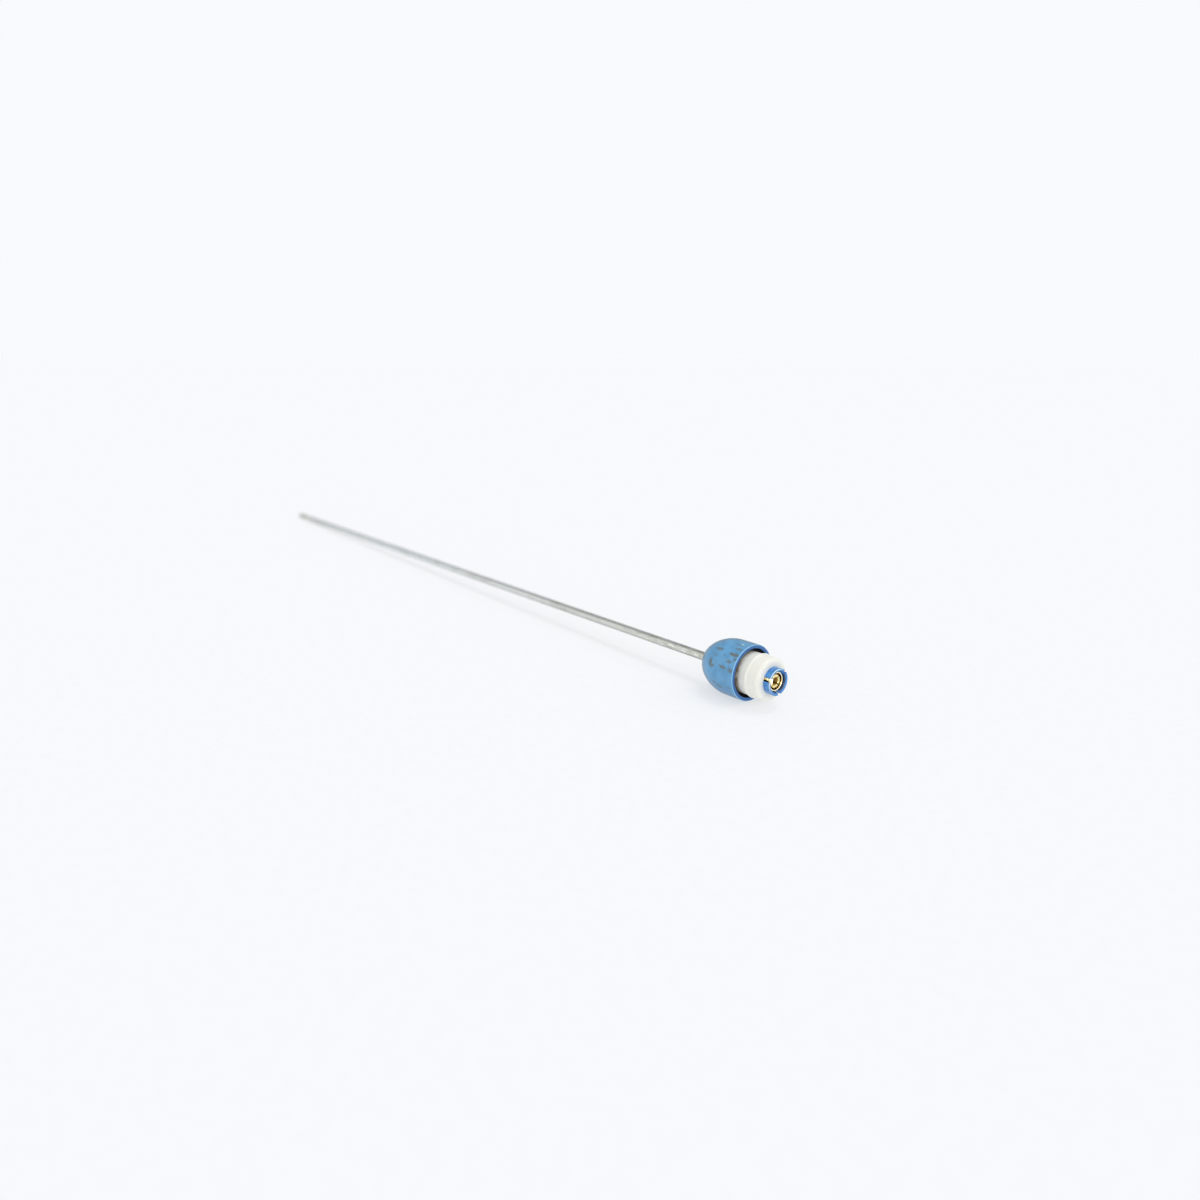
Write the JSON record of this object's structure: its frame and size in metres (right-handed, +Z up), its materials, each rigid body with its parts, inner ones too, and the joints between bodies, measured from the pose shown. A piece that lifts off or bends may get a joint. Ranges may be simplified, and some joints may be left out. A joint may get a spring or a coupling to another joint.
{
  "type": "rigid rod probe with coaxial plug head",
  "caption": "Slim rigid steel rod probe with a bullet-shaped sliding shell and a slotted coaxial plug end.",
  "frame": {"origin": "centre of the plug body's end face, where the collet ring leaves it", "axes": "+X along the rod's axis out of the plug end, the rod's tip towards -X, +Z up"},
  "size_m": [0.3601, 0.016, 0.016],
  "materials": {
    "shaft_steel": "brushed along its length, lightly scratched",
    "tip_metal": "darkened bare metal",
    "tip_band": "matt",
    "liner": "matt",
    "copper_wire": "drawn copper",
    "inner_steel": "turned",
    "hub_metal": "turned",
    "ivory_plastic": "satin",
    "seal_rubber": "matt",
    "collet_blue": "satin gloss",
    "contact_gold": "gold plated, polished",
    "shell_blue": "satin, worn through in flecks",
    "black_plastic": "matt"
  },
  "bodies": {
    "probe": {"tip_electrode": "tip_metal", "tip_band": "tip_band", "shaft_tube": "shaft_steel", "shaft_liner": "liner", "centre_wire": "copper_wire", "shaft_ferrule": "inner_steel", "hub_core": "hub_metal", "spring_nut": "inner_steel", "return_spring": "inner_steel", "plug_body": "ivory_plastic", "body_seal": "seal_rubber", "collet_ring": "collet_blue", "outer_contact": "contact_gold", "front_bead": "liner", "rear_bead": "liner", "centre_contact": "contact_gold", "crimp_sleeve": "inner_steel", "index_key": "contact_gold"},
    "sleeve": {"shell": "shell_blue", "nose_bush": "hub_metal", "nose_seal": "seal_rubber", "stop_ring": "black_plastic", "snap_ring": "inner_steel"}
  },
  "joints": [
    {"name": "sleeve_slide", "type": "slide", "parent": "probe", "child": "sleeve", "axis": [-1, 0, 0], "range_m": [0, 0.0025], "stiffness_N_per_m": 300, "springref_m": -0.001, "deforming": ["return_spring"]}
  ]
}
